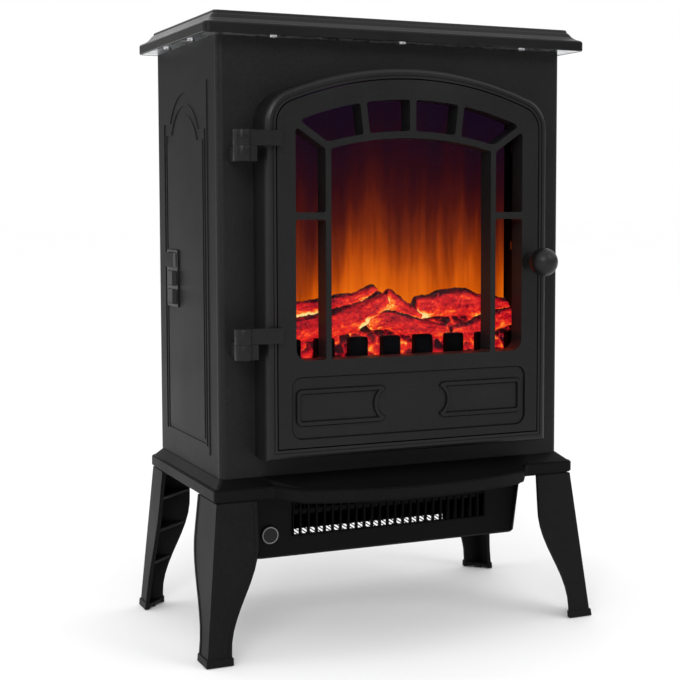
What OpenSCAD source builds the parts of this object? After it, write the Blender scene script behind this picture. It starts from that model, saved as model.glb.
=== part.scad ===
// Free-standing electric stove heater with an opening door, a flame effect and a fan heater.
// Millimetres, +Z up, X along the front, Y into the depth. The stove faces -Y.

/* [Cabinet] */
// Width of the cabinet
body_w = 362; // [340:1:440]
// Depth of the cabinet
body_d = 198; // [190:1:250]
// Height of the cabinet, from the base to the lid
body_h = 409; // [400:1:500]
// Outer radius of the two front corners
body_corner = 6; // [3:0.5:12]
// Thickness of the sheet metal
sheet = 1.5; // [0.8:0.1:2]

/* [Lid] */
// Height of the lid
lid_h = 21.5; // [18:0.5:32]
// How far the lid stands out over each side
lid_side = 17.5; // [8:0.5:30]
// How far the lid stands out over the front
lid_front = 19.5; // [8:0.5:28]
// How far the lid stands out over the back
lid_rear = 11; // [5:0.5:30]
// Wall of the lid
lid_wall = 2.5; // [2:0.5:4]

/* [Base] */
// Height of the base plinth
base_h = 20; // [18:0.5:30]
// How far the base stands out at each side
base_side = 10.5; // [6:0.5:20]
// How far the base stands out at the front corners
base_front = 15; // [10:0.5:25]
// How far the base stands out at the back
base_rear = 8; // [2:0.5:15]
// How far the bow front stands out beyond the corners at its middle
bow_depth = 54; // [45:1:70]
// How far the bow front stands out at its two ends
bow_end = 31; // [20:1:40]
// Distance from the bow front to the side of the cabinet
bow_margin = 45; // [36:1:60]
// Wall of the base
base_wall = 3; // [2:0.5:4]

/* [Legs] */
// Height of the legs
leg_h = 147.5; // [130:0.5:190]
// How far a foot is splayed outwards beyond the top of its leg, sideways
splay_side = 15.5; // [0:0.5:25]
// The same at the front
splay_front = 17; // [0:0.5:25]
// Width of a leg at the top, along the front
leg_top_w = 39; // [30:1:50]
// Width of a leg at the foot, along the front
leg_foot_w = 24; // [18:1:30]
// Wall of a leg
leg_wall = 3.5; // [3:0.5:5]

/* [Door] */
// How far the door surround stands proud of the cabinet
surround_proud = 35; // [30:1:45]
// Distance from the door to the side of the cabinet
door_margin = 44.7; // [44:0.1:60]
// Distance from the door to the bottom of the cabinet
door_low = 30.5; // [25:0.5:50]
// Distance from the top of the door to the lid
door_high = 37; // [30:0.5:60]
// Radius of the arch of the door
door_arc = 330; // [280:5:500]
// Radius of the two upper corners of the door
door_corner = 22; // [10:1:30]
// Thickness of the door plate
door_plate = 12; // [10:0.5:14]
// Depth of the glazing bars, plate included
bar_depth = 20; // [18:0.5:22]
// Width of a glazing bar
bar_w = 5.5; // [4:0.5:8]
// Width of the outer stiles of the door
stile_w = 17.8; // [16:0.2:24]
// Width of the side panes
side_pane = 29.5; // [20:0.5:36]
// Thickness of the glass
glass_t = 3; // [2:0.5:4]
// Play round the door
door_gap = 1.2; // [1.1:0.1:2]
// Height of the lower panel of the door, up to the glazing
door_foot = 81; // [70:1:100]
// How deep the lower panel is sunk into the door plate
panel_sink = 2.2; // [1:0.1:3]
// Width of the raised bead round each cartouche
bead_w = 3.2; // [2.4:0.2:4]
// Width of the fine grooves beside the beads
groove_w = 1.2; // [0.8:0.1:1.6]

/* [Hinges and knob] */
// Radius of the hinge knuckles
knuckle_r = 8; // [7:0.5:10]
// Height of one knuckle
knuckle_h = 14; // [12:0.5:18]
// Radius of the hinge pins
pin_r = 3; // [2.5:0.5:4]
// Height of the seam of the upper hinge below the top of the door
upper_hinge = 64.5; // [55:0.5:90]
// Height of the seam of the lower hinge above the bottom of the door
lower_hinge = 98.5; // [60:0.5:120]
// Radius of the ball knob
knob_r = 13.8; // [10:0.2:18]
// Height of the knob above the bottom of the door
knob_up = 169; // [120:1:220]

/* [Fire] */
// Height of the ember tray above the bottom of the door
fire_floor = 60; // [50:1:75]
// Distance from the flame screen to the side of the cabinet
fire_margin = 29; // [24:1:36]
// Radius of the flame spindle with its foils
foil_r = 15; // [10:0.5:20]
// Number of posts in the ember grate
grate_posts = 9; // [5:1:9]

/* [Heater] */
// Height of the heater housing below the base
pod_h = 63.5; // [55:0.5:75]
// Depth of the heater housing
pod_d = 66; // [64:1:90]
// Distance from the heater housing to the side of the cabinet
pod_margin = 29.5; // [26:0.5:40]
// How far the housing narrows towards its floor, each side
pod_draft = 7.5; // [0:0.5:10]
// Radius of the impeller
fan_r = 15; // [12:0.5:15.5]
// Distance between the bars of the outlet grille
grille_pitch = 8.4; // [7:0.2:12]

/* [Switches] */
// Width of a rocker, along the depth of the cabinet
rocker_w = 28; // [20:1:32]
// Height of a rocker
rocker_h = 14; // [10:0.5:16]
// Angle of a pressed rocker from its middle position
rocker_tilt = 7; // [4:0.5:10]

/* [Clearances] */
// Play between pieces that are only laid together
lay = 0.2; // [0.1:0.05:0.4]
// Radial running clearance of pins and shafts
run_fit = 0.06; // [0.02:0.01:0.1]
// Space round each rocker
rocker_gap = 0.5; // [0.4:0.1:0.8]

/* [Hidden] */
$fn = 48;
sliver = 0.01;

black = "#26272a";
iron = "#1d1e20";
steel = "silver";

// Heights and planes of the cabinet
body_z = leg_h + base_h;
body_top = body_z + body_h;
half_w = body_w / 2;
half_d = body_d / 2;
front_y = -half_d;
rear_y = half_d;
door_front = front_y - surround_proud;
plate_back = door_front + door_plate;
bars_back = door_front + bar_depth;
glass_back = bars_back + glass_t;

// The door, seen from the front
door_half = half_w - door_margin;
bow_half = half_w - bow_margin;
door_bottom = body_z + door_low;
door_top = body_top - door_high;
glazed_half = door_half - stile_w;
glazed_bottom = door_bottom + door_foot;
glazed_top = door_top - 18.5;
mullion_x = glazed_half - side_pane - bar_w / 2;
ring_w = bar_w + 1;
ring_top = glazed_top - 29.5;
ring_arc = 326;
transom_z = door_bottom + 214;
diagonal_z = glazed_top - 44;

// The hinges
hinge_x = -door_half - 34.7;
hinge_y = door_front - 4;
// Height where the arch of the door meets its sides
arch_side_z = door_top - door_arc + sqrt(door_arc * door_arc - door_half * door_half);
hinge_seams = [door_bottom + lower_hinge,
               min(door_top - upper_hinge, arch_side_z - 0.75 * door_corner - knuckle_h)];
pin_reach = 11;
strap_back = door_front - 1;
strap_front = strap_back - 7;

// The knob
knob_x = door_half - 8.3;
knob_z = door_bottom + knob_up;
knob_reach = 26;
knob_front = door_front - knob_reach - knob_r;

// The fire
tray_z = door_bottom + fire_floor;
screen_y = front_y + 62;
grate_y = front_y + 14;
screen_w = 2 * (half_w - fire_margin);
liner_x = screen_w / 2 + 3;
liner_top_z = door_top + 8;
spindle_y = screen_y + 42;
spindle_z = tray_z + 36;

// The heater
pod_y = front_y + 14;
pod_bottom = leg_h - pod_h;
pod_wall = 2.5;
pod_half = half_w - pod_margin;
grille_half = pod_half - 46.5;
grille_low = leg_h - 43.5;
grille_high = leg_h - 5;
fan_l = 2 * grille_half - 14;
fan_y = pod_y + 42;
fan_z = leg_h - 7;
scroll_r = fan_r + 4;

// The switches
switch_y = 45;
switch_z = body_z + 181.3;
rocker_pitch = rocker_h + 2 * rocker_gap + 3.5;
bezel_w = rocker_w + 9;
bezel_h = 3 * rocker_pitch + 1.5;
rocker_pivot = 5;

// The bounding box's centre in depth is the origin
lid_back = rear_y + lid_rear;
centre_y = (knob_front + lid_back) / 2;

module placed() {
    translate([0, -centre_y, 0]) children();
}

// Extrudes an outline drawn in X and Z from y_back forwards to y_front
module front_prism(y_back, y_front) {
    translate([0, y_back, 0]) rotate([90, 0, 0]) linear_extrude(y_back - y_front) children();
}

// Extrudes an outline drawn in Y and Z from x_low to x_high
module side_prism(x_low, x_high) {
    translate([x_low, 0, 0]) rotate([90, 0, 90]) linear_extrude(x_high - x_low) children();
}

module block(low, high) {
    translate(low) cube([high[0] - low[0], high[1] - low[1], high[2] - low[2]]);
}

// Rectangle with round corners, from its low corner to its high corner
module round_rect(low, high, r) {
    translate([low[0] + r, low[1]]) square([high[0] - low[0] - 2 * r, high[1] - low[1]]);
    translate([low[0], low[1] + r]) square([high[0] - low[0], high[1] - low[1] - 2 * r]);
    for (x = [low[0] + r, high[0] - r], y = [low[1] + r, high[1] - r])
        translate([x, y]) circle(r);
}

// Points of a rectangle with round corners, anticlockwise
function round_ring(low, high, r, z) = [
    for (q = [0:3], k = [0:8])
        let (a = 90 * q + 90 * k / 8,
             cx = (q == 0 || q == 3) ? high[0] - r : low[0] + r,
             cy = q < 2 ? high[1] - r : low[1] + r)
        [cx + r * cos(a), cy + r * sin(a), z]
];

// Solid through a stack of rings with the same number of points
module loft(rings) {
    n = len(rings[0]);
    m = len(rings);
    polyhedron(
        points = [for (ring = rings) each ring],
        faces = concat(
            [[for (i = [0:n - 1]) i]],
            [[for (i = [n - 1:-1:0]) (m - 1) * n + i]],
            [for (k = [0:m - 2], i = [0:n - 1])
                [k * n + i, (k + 1) * n + i, (k + 1) * n + (i + 1) % n]],
            [for (k = [0:m - 2], i = [0:n - 1])
                [k * n + i, (k + 1) * n + (i + 1) % n, k * n + (i + 1) % n]]),
        convexity = 4);
}

// Bar between two points of an outline
module bar(p, q, w) {
    d = q - p;
    translate(p) rotate(atan2(d[1], d[0])) translate([0, -w / 2]) square([norm(d), w]);
}

module mirrored() {
    children();
    mirror([1, 0, 0]) children();
}

// A pan head with its shank, head up
module screw(r, head_r, head_h, shank) {
    translate([0, 0, -shank]) cylinder(r = r, h = shank + sliver, $fn = 24);
    difference() {
        cylinder(r = head_r, h = head_h, $fn = 32);
        for (a = [0, 90])
            rotate(a) translate([-head_r * 0.6, -head_r * 0.12, head_h * 0.5])
                cube([head_r * 1.2, head_r * 0.24, head_h]);
    }
}

// ---- Lid ----

lid_low = [-half_w - lid_side, front_y - lid_front];
lid_high = [half_w + lid_side, lid_back];

function lid_ring(inset, z, r) =
    round_ring([lid_low[0] + inset, lid_low[1] + inset],
               [lid_high[0] - inset, lid_high[1] - inset], r, z);

module lid() {
    skirt = 9;
    color(black) placed() difference() {
        loft([
            lid_ring(0.6, body_top, 6),
            lid_ring(0, body_top + 0.8, 6),
            lid_ring(0, body_top + skirt - 0.6, 6),
            lid_ring(0.8, body_top + skirt + 0.8, 5.5),
            lid_ring(2.6, body_top + skirt + 1.6, 5),
            lid_ring(5.2, body_top + skirt + 2.8, 5),
            lid_ring(8, body_top + skirt + 5, 4.5),
            lid_ring(10.4, body_top + lid_h - 4.2, 4),
            lid_ring(12, body_top + lid_h - 2.6, 4),
            lid_ring(12.3, body_top + lid_h - 0.9, 4),
            lid_ring(13.2, body_top + lid_h, 3.4)]);
        loft([
            lid_ring(lid_wall, body_top - 1, 3.5),
            lid_ring(lid_wall, body_top + skirt - 1, 3.5),
            lid_ring(lid_wall + 8, body_top + lid_h - 6.5, 3),
            lid_ring(lid_wall + 12, body_top + lid_h - lid_wall, 2)]);
    }
}

lid_screw_x = half_w - 51;
lid_screw_spots = [
    [-lid_screw_x, front_y - 10], [0, front_y - 10], [lid_screw_x, front_y - 10],
    [-half_w - 9, -50], [-half_w - 9, 30], [half_w + 9, -50], [half_w + 9, 30]];

module top_plate() {
    edge = lid_wall + lay;
    color(steel) placed() difference() {
        translate([0, 0, body_top + lay]) linear_extrude(sheet)
            round_rect([lid_low[0] + edge, lid_low[1] + edge],
                       [lid_high[0] - edge, lid_high[1] - edge], 3.2);
        for (p = lid_screw_spots)
            translate([p[0], p[1], body_top - 1]) cylinder(r = 2.1, h = 5);
    }
}

module lid_screws() {
    color("white") placed()
        for (p = lid_screw_spots)
            translate([p[0], p[1], body_top + lay]) mirror([0, 0, 1]) screw(2, 4, 1.8, 6);
}

// ---- Cabinet ----

seam_y = front_y + 9;

module cabinet_plan(inset) {
    round_rect([-half_w + inset, front_y + inset], [half_w - inset, rear_y + 20],
               body_corner - inset);
}

module front_panel() {
    color(black) placed() difference() {
        translate([0, 0, body_z]) linear_extrude(body_h) intersection() {
            difference() {
                cabinet_plan(0);
                cabinet_plan(sheet);
            }
            translate([-half_w, front_y - 1]) square([body_w, seam_y - front_y + 1 - lay / 2]);
        }
        front_prism(front_y + 5, front_y - 5) door_outline(door_gap);
        for (z = hinge_seams)
            translate([bracket_x, front_y + 5, z - knuckle_h / 2]) rotate([90, 0, 0])
                cylinder(r = 2.2, h = 10);
    }
}

// Arch with shoulders: the upper end of the embossed field
module arch_field(low_y, high_y, low_z, foot_z, arch_half, rise, inset) {
    mid = (low_y + high_y) / 2;
    r = (arch_half * arch_half + rise * rise) / (2 * rise);
    translate([low_y + inset, low_z + inset])
        square([high_y - low_y - 2 * inset, foot_z - low_z - 2 * inset]);
    intersection() {
        translate([mid - arch_half, foot_z - 2 * inset])
            square([2 * arch_half, rise + 2 * inset]);
        translate([mid, foot_z + rise - r - inset]) circle(r);
    }
}

emboss_low_y = -half_d + 33;
emboss_high_y = half_d - 24;
emboss_low_z = body_z + 26;
shoulder_z = body_top - 93;

// The pressed pattern, in Y and Z, as a raised layer
module emboss_layers(x_out, step) {
    side_prism(x_out - sliver, x_out + step) difference() {
        translate([emboss_low_y - 2, emboss_low_z - 8])
            square([emboss_high_y - emboss_low_y + 4, body_top - 30 - emboss_low_z]);
        arch_field(emboss_low_y, emboss_high_y, emboss_low_z, shoulder_z + 20, 49, 28, 0);
    }
    side_prism(x_out - sliver, x_out + step) difference() {
        arch_field(emboss_low_y + 6, emboss_high_y - 6, emboss_low_z, shoulder_z + 10, 45, 27, 0);
        arch_field(emboss_low_y + 6, emboss_high_y - 6, emboss_low_z, shoulder_z + 10, 45, 27, 1.6);
    }
    side_prism(x_out - sliver, x_out + step)
        arch_field(emboss_low_y + 12, emboss_high_y - 12, emboss_low_z + 6, shoulder_z, 41, 26, 0);
}

module side_sheet() {
    block([half_w - sheet, seam_y + lay / 2, body_z], [half_w, rear_y, body_top]);
    emboss_layers(half_w, 0.9);
    for (z = [body_z, body_top - sheet])
        block([half_w - 14, seam_y + 2, z], [half_w - sheet + sliver, rear_y - 3, z + sheet]);
    block([half_w - 14, rear_y - 2 * sheet - lay, body_z],
          [half_w - sheet + sliver, rear_y - sheet - lay, body_top]);
}

module side_panel_left() {
    color(black) placed() difference() {
        mirror([1, 0, 0]) side_sheet();
        side_prism(-half_w - 5, -half_w + sheet + 3)
            translate([switch_y - bezel_w / 2 + 1.5, switch_z - bezel_h / 2 + 1.5])
                square([bezel_w - 3, bezel_h - 3]);
        side_prism(-half_w - 5, -half_w)
            translate([switch_y - bezel_w / 2 - lay, switch_z - bezel_h / 2 - lay])
                square([bezel_w + 2 * lay, bezel_h + 2 * lay]);
        rear_screw_holes();
    }
}

module side_panel_right() {
    color(black) placed() difference() {
        side_sheet();
        rear_screw_holes();
    }
}

rear_screw_spots = [for (x = [-half_w + 8, half_w - 8], k = [0:3]) [x, body_z + 20 + k * (body_h - 40) / 3]];
gland_spot = [half_w - 45, body_z + 32];

module rear_screw_holes() {
    for (p = rear_screw_spots)
        translate([p[0], rear_y + 5, p[1]]) rotate([90, 0, 0]) cylinder(r = 1.9, h = 16);
}

module rear_cover() {
    vent_l = 62;
    vent_rows = 7;
    color(black) placed() difference() {
        block([-half_w + sheet + lay, rear_y - sheet, body_z],
              [half_w - sheet - lay, rear_y, body_top]);
        for (x = [-70, 70], z0 = [body_z + 70, body_top - 120], k = [0:vent_rows - 1])
            front_prism(rear_y + 1, rear_y - sheet - 1)
                round_rect([x - vent_l / 2, z0 + k * 10], [x + vent_l / 2, z0 + k * 10 + 4], 1.9);
        translate([gland_spot[0], rear_y + 5, gland_spot[1]]) rotate([90, 0, 0])
            cylinder(r = 6, h = 12);
        rear_screw_holes();
    }
}

module rear_screws() {
    color(steel) placed()
        for (p = rear_screw_spots)
            translate([p[0], rear_y, p[1]]) rotate([-90, 0, 0]) screw(1.8, 3.6, 2, 8);
}

module cord_gland() {
    color(iron) placed()
        translate([gland_spot[0], rear_y, gland_spot[1]]) rotate([-90, 0, 0]) difference() {
            union() {
                cylinder(r = 9, h = 4);
                translate([0, 0, -sheet - 5]) cylinder(r = 5.95, h = sheet + 5 + sliver);
                translate([0, 0, -sheet - 4]) cylinder(r = 8, h = 4 - lay);
            }
            translate([0, 0, -sheet - 6]) cylinder(r = 3.7, h = 20);
        }
}

module floor_plate() {
    color(steel) placed()
        block([-half_w + sheet + lay, front_y + body_corner, body_z + sheet + lay],
              [half_w - sheet - lay, rear_y - 2 * sheet - 2 * lay, body_z + 2 * sheet + lay]);
}

module terminal_block() {
    x = half_w - 70;
    z = body_z + 2 * sheet + lay;
    color("white") placed() difference() {
        block([x - 22, rear_y - 45, z], [x + 22, rear_y - 27, z + 14]);
        for (k = [-1.5:1:1.5])
            translate([x + k * 10, rear_y - 36, z + 5]) cylinder(r = 3, h = 10);
        for (k = [-1:1:1])
            block([x + k * 10 - 0.8, rear_y - 46, z + 3], [x + k * 10 + 0.8, rear_y - 26, z + 15]);
    }
}

// ---- Door surround ----

// Outline of the door, grown by o
module door_outline(o) {
    w = door_half + o;
    r = door_corner + o;
    round_from = door_bottom + 60;
    offset(r = r) offset(delta = -r) intersection() {
        translate([-w, round_from - 2 * r]) square([2 * w, door_top + o - round_from + 2 * r]);
        translate([0, door_top - door_arc]) circle(door_arc + o, $fn = 240);
    }
    translate([-w, door_bottom - o]) square([2 * w, round_from - door_bottom + o]);
}

surround_w = 10.7;

module door_surround() {
    color(black) placed() difference() {
        hull() {
            front_prism(front_y, door_front + 6) door_outline(surround_w);
            front_prism(door_front + 6, door_front + 3) door_outline(surround_w - 0.5);
            front_prism(door_front + 3, door_front + 1.2) door_outline(surround_w - 1.7);
            front_prism(door_front + 1.2, door_front) door_outline(surround_w - 3.8);
        }
        front_prism(front_y + 1, door_front - 1) door_outline(door_gap);
        front_prism(door_front + 1, door_front - 1) difference() {
            door_outline(door_gap + 3.2);
            door_outline(door_gap + 2.2);
        }
        // Pocket of the latch magnet
        magnet_pocket(lay);
    }
}

magnet_z = door_bottom + 36;
magnet_x = door_half + door_gap;

module magnet_pocket(play) {
    block([magnet_x - 1, bars_back + 6 - play, magnet_z - 10 - play],
          [magnet_x + 4 + play, bars_back + 13 + play, magnet_z + 10 + play]);
}

module latch_magnet() {
    color(steel) placed() {
        block([magnet_x - 1, bars_back + 6, magnet_z - 10],
              [magnet_x + 4, bars_back + 13, magnet_z + 10]);
        block([door_half - 13, bars_back + 1.6, magnet_z - 10],
              [magnet_x - lay, bars_back + 12, magnet_z + 10]);
    }
}

module strike_plate() {
    color(steel) placed() {
        block([door_half - 13, bars_back, magnet_z - 11], [door_half - 4.5, bars_back + 1, magnet_z + 11]);
    }
}

// ---- Base ----

base_low = [-half_w - base_side, front_y - base_front];
base_high = [half_w + base_side, rear_y + base_rear];
bow_flat = bow_half - 20;
bow_r = (bow_flat * bow_flat + pow(bow_depth - bow_end, 2)) / (2 * (bow_depth - bow_end));

// The bow front, shrunk by o
module bow_plan(o) {
    y0 = base_low[1];
    polygon(concat(
        [[bow_half, y0 + 12], [bow_half - o, y0], [bow_flat - o, y0 - bow_end + o]],
        [for (k = [1:15])
            let (x = (bow_flat - o) * (1 - k / 8))
            [x, y0 - bow_depth + o + bow_r - sqrt(bow_r * bow_r - x * x)]],
        [[-bow_flat + o, y0 - bow_end + o], [-bow_half + o, y0], [-bow_half, y0 + 12]]));
}

module base_plan(o) {
    offset(r = -7) offset(delta = 7) {
        round_rect([base_low[0] + o, base_low[1] + o], [base_high[0] - o, base_high[1] - o], 5);
        bow_plan(o);
    }
}

module base_plinth() {
    band_low = leg_h + 1.5;
    band_high = body_z - 7.5;
    color(black) placed() difference() {
        union() {
            hull() {
                translate([0, 0, body_z - 0.5]) linear_extrude(0.5)
                    round_rect([-half_w - 0.6, front_y - 0.6], [half_w + 0.6, rear_y + 0.6], 5);
                translate([0, 0, band_high]) linear_extrude(0.5)
                    round_rect([base_low[0] + 2.6, base_low[1] + 2.6],
                               [base_high[0] - 2.6, base_high[1] - 2.6], 4);
            }
            hull() {
                translate([-bow_half - 8, front_y - 1, body_z - 0.6])
                    cube([2 * bow_half + 16, 10, 0.5]);
                translate([0, 0, band_high]) linear_extrude(0.5) bow_plan(3);
            }
            translate([0, 0, band_high - 1]) linear_extrude(1.3) base_plan(1);
            translate([0, 0, band_low + 1]) linear_extrude(band_high - band_low - 1.8) base_plan(0);
            translate([0, 0, band_low]) linear_extrude(2) base_plan(1);
            translate([0, 0, leg_h]) linear_extrude(3) base_plan(3);
        }
        translate([0, 0, leg_h - 1]) linear_extrude(base_h - base_wall + 1 - 7) difference() {
            base_plan(3 + base_wall);
            for (s = [-1, 1], p = leg_screw_spots) translate([s * p[0], p[1]]) circle(6);
            for (p = housing_screw_spots) translate(p) circle(5);
        }
        translate([0, 0, leg_h + 5]) linear_extrude(base_h - base_wall - 5) difference() {
            round_rect([-half_w + 6, front_y + 6], [half_w - 6, rear_y - 6], 4);
            for (s = [-1, 1], p = leg_screw_spots) translate([s * p[0], p[1]]) circle(6);
            for (p = housing_screw_spots) translate(p) circle(5);
        }
        for (s = [-1, 1], p = leg_screw_spots)
            translate([s * p[0], p[1], leg_h - 1]) cylinder(r = 2, h = 11);
        for (p = housing_screw_spots)
            translate([p[0], p[1], leg_h - 1]) cylinder(r = 1.6, h = 11);
    }
}

// ---- Legs ----

leg_out_top = half_w + base_side - 2;
leg_out_foot = leg_out_top + splay_side;
leg_front_top = front_y - base_front + 2;
leg_front_foot = leg_front_top - splay_front;
leg_rear_top = rear_y + base_rear - 1;
foot_h = 7.5;
foot_lip = 1.2;
pad_h = 2.5;

// How far a leg has curved in from its top width to its foot width at height z
function leg_ease(z) =
    let (t = (0.75 * leg_h - z) / (0.67 * leg_h))
    t < 0 ? 0 : t > 1 ? 1 : (1 - cos(180 * t)) / 2;

// The solid inside the two flared outer planes of the left leg, moved inwards by t
module leg_wedge(t, front_foot, front_top, away) {
    lean_side = atan(splay_side / leg_h);
    lean_front = atan((front_top - front_foot) / leg_h);
    intersection() {
        translate([-leg_out_foot + t, 0, 0]) rotate([0, lean_side, 0])
            translate([0, -400, -40]) cube([200, 800, 300]);
        translate([0, front_foot + t, 0]) rotate([-lean_front, 0, 0])
            translate([-400, 0, -40]) cube([800, 200, 300]);
        block([-leg_out_foot - 10, -400, 0], [0, 400, away]);
    }
}

// Everything on the outer side of the curved inner edges, grown by o
module leg_mask(edge_x_top, edge_x_foot, edge_y_top, edge_y_foot, o) {
    steps = 14;
    heights = [for (k = [0:steps]) leg_h * k / steps];
    intersection() {
        front_prism(400, -400)
            polygon(concat([[-400, -1], [edge_x_foot + o, -1]],
                [for (z = heights) [edge_x_top + (edge_x_foot - edge_x_top) * leg_ease(z) + o, z]],
                [[edge_x_top + o, leg_h + 1], [-400, leg_h + 1]]));
        side_prism(-400, 400)
            polygon(concat([[-400, -1], [edge_y_foot + o, -1]],
                [for (z = heights) [edge_y_top + (edge_y_foot - edge_y_top) * leg_ease(z) + o, z]],
                [[edge_y_top + o, leg_h + 1], [-400, leg_h + 1]]));
    }
}

// A left leg whose corner points to -X and -Y
module leg(front_top, front_foot, side_top_w, side_foot_w, holes) {
    ex_top = -leg_out_top + leg_top_w;
    ex_foot = -leg_out_foot + leg_foot_w;
    ey_top = front_top + side_top_w;
    ey_foot = front_foot + side_foot_w;
    rim = 3.5;
    difference() {
        union() {
            intersection() {
                difference() {
                    leg_wedge(0, front_foot, front_top, leg_h);
                    leg_wedge(leg_wall, front_foot, front_top, leg_h + 1);
                }
                leg_mask(ex_top, ex_foot, ey_top, ey_foot, 0);
            }
            // Raised rim along the curved edges
            intersection() {
                difference() {
                    leg_wedge(-0.7, front_foot, front_top, leg_h);
                    leg_wedge(1, front_foot, front_top, leg_h + 1);
                }
                difference() {
                    leg_mask(ex_top, ex_foot, ey_top, ey_foot, 0);
                    leg_mask(ex_top, ex_foot, ey_top, ey_foot, -rim);
                }
            }
            // Lip round the foot
            intersection() {
                difference() {
                    leg_wedge(-foot_lip, front_foot, front_top, foot_h);
                    leg_wedge(leg_wall, front_foot, front_top, foot_h + 1);
                }
                leg_mask(ex_top, ex_foot, ey_top, ey_foot, foot_lip);
            }
            // Webs
            for (z = [pad_h, leg_h * 0.33, leg_h * 0.57, leg_h * 0.8, leg_h - 4])
                leg_web(z, z > leg_h - 5 ? 4 : 3, front_top, front_foot,
                        ex_top, ex_foot, ey_top, ey_foot);
        }
        block([-400, -400, -1], [400, 400, 0.8]);
        for (p = holes)
            translate([-p[0], p[1], leg_h - 10]) cylinder(r = 2.5, h = 12);
    }
}

module leg_web(z, t, front_top, front_foot, ex_top, ex_foot, ey_top, ey_foot) {
    e = leg_ease(z);
    x0 = -leg_out_foot + splay_side * z / leg_h - 5;
    y0 = front_foot + (front_top - front_foot) * z / leg_h - 5;
    x1 = ex_top + (ex_foot - ex_top) * e - 1;
    y1 = ey_top + (ey_foot - ey_top) * e - 1;
    intersection() {
        leg_wedge(0.5, front_foot, front_top, leg_h);
        translate([0, 0, z]) linear_extrude(t)
            polygon([[x0, y0], [x1, y0], [x1, y0 + leg_wall + 5], [x0 + leg_wall + 5, y1], [x0, y1]]);
    }
}

front_leg_side = [56, 27];
rear_leg_side = [38, 23];
leg_screw_spots = [
    [leg_out_top - 15, leg_front_top + 14], [leg_out_top - 14, leg_front_top + 36],
    [leg_out_top - 15, leg_rear_top - 14]];

module front_leg() {
    leg(leg_front_top, leg_front_foot, front_leg_side[0], front_leg_side[1],
        [leg_screw_spots[0], leg_screw_spots[1]]);
}

module rear_leg() {
    mirror([0, 1, 0])
        leg(-leg_rear_top, -leg_rear_top - 1, rear_leg_side[0], rear_leg_side[1],
            [[leg_screw_spots[2][0], -leg_screw_spots[2][1]]]);
}

module leg_front_left() { color(black) placed() front_leg(); }
module leg_front_right() { color(black) placed() mirror([1, 0, 0]) front_leg(); }
module leg_rear_left() { color(black) placed() rear_leg(); }
module leg_rear_right() { color(black) placed() mirror([1, 0, 0]) rear_leg(); }

module leg_screws() {
    color(steel) placed()
        for (s = [-1, 1], p = leg_screw_spots)
            translate([s * p[0], p[1], leg_h - 4]) mirror([0, 0, 1]) screw(1.95, 4, 2, 13);
}

module foot_pads() {
    color(iron) placed()
        for (s = [-1, 1], y = [leg_front_foot + 9.5, leg_rear_top - 8.5])
            translate([s * (leg_out_foot - 9.5), y, 0]) cylinder(r = 4.5, h = pad_h);
}

// ---- Door ----

// The field of the window, before the glazing bars are laid over it
module glazed_field() {
    intersection() {
        translate([-glazed_half, glazed_bottom])
            square([2 * glazed_half, glazed_top - glazed_bottom]);
        translate([0, glazed_top - door_arc + 18.5]) circle(door_arc - 18.5, $fn = 240);
    }
}

module glazing_bars() {
    ring_r = ring_arc;
    difference() {
        intersection() {
            translate([0, ring_top - ring_r]) circle(ring_r, $fn = 240);
            translate([-mullion_x - 3, glazed_bottom]) square([2 * mullion_x + 6, 400]);
        }
        translate([0, ring_top - ring_r]) circle(ring_r - ring_w, $fn = 240);
    }
    bar([0, ring_top - 3], [0, glazed_top + 5], ring_w);
    for (s = [-1, 1]) {
        bar([s * mullion_x, glazed_bottom - 5], [s * mullion_x, diagonal_z + 4], bar_w);
        bar([s * (mullion_x - 1), diagonal_z - 2], [s * (glazed_half + 2), glazed_top - 22], ring_w);
        bar([s * 0.55 * mullion_x, ring_top - 5], [s * 0.605 * mullion_x, glazed_top + 5], ring_w);
        bar([s * mullion_x, transom_z], [s * (glazed_half + 5), transom_z], ring_w);
    }
}

module panes() {
    offset(r = 2.5) offset(delta = -2.5) difference() {
        intersection() {
            glazed_field();
            union() {
                translate([-glazed_half, glazed_bottom + 20]) square([2 * glazed_half, 400]);
                round_rect([-glazed_half, glazed_bottom], [glazed_half, glazed_bottom + 60], 11);
            }
        }
        glazing_bars();
    }
}

panel_low = door_bottom + 7.5;
panel_high = glazed_bottom - 15;

// The lower panel, drawn in by o on all sides
module lower_panel(o) {
    round_rect([-glazed_half - 4.5 + o, panel_low + o], [glazed_half + 4.5 - o, panel_high - o], 10 - o);
}

// One cartouche of the lower panel, drawn in by o: its inner end is hollowed
module cartouche(o) {
    low = [-glazed_half + 0.5 + o, panel_low + 13 + o];
    high = [-29 - o, panel_high - 12.5 - o];
    difference() {
        round_rect(low, high, 5 - o * 0.9);
        translate([-22, (low[1] + high[1]) / 2]) circle(15 + o);
    }
}

module cartouche_ring(outer, inner) {
    mirrored() difference() {
        cartouche(outer);
        cartouche(inner);
    }
}

module door_plate_back() {
    front_prism(bars_back, plate_back - sliver) difference() {
        door_outline(-4.5);
        panes();
        round_rect([-door_half + 14, door_bottom + 14], [door_half - 14, glazed_bottom - 10], 5);
    }
}

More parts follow.
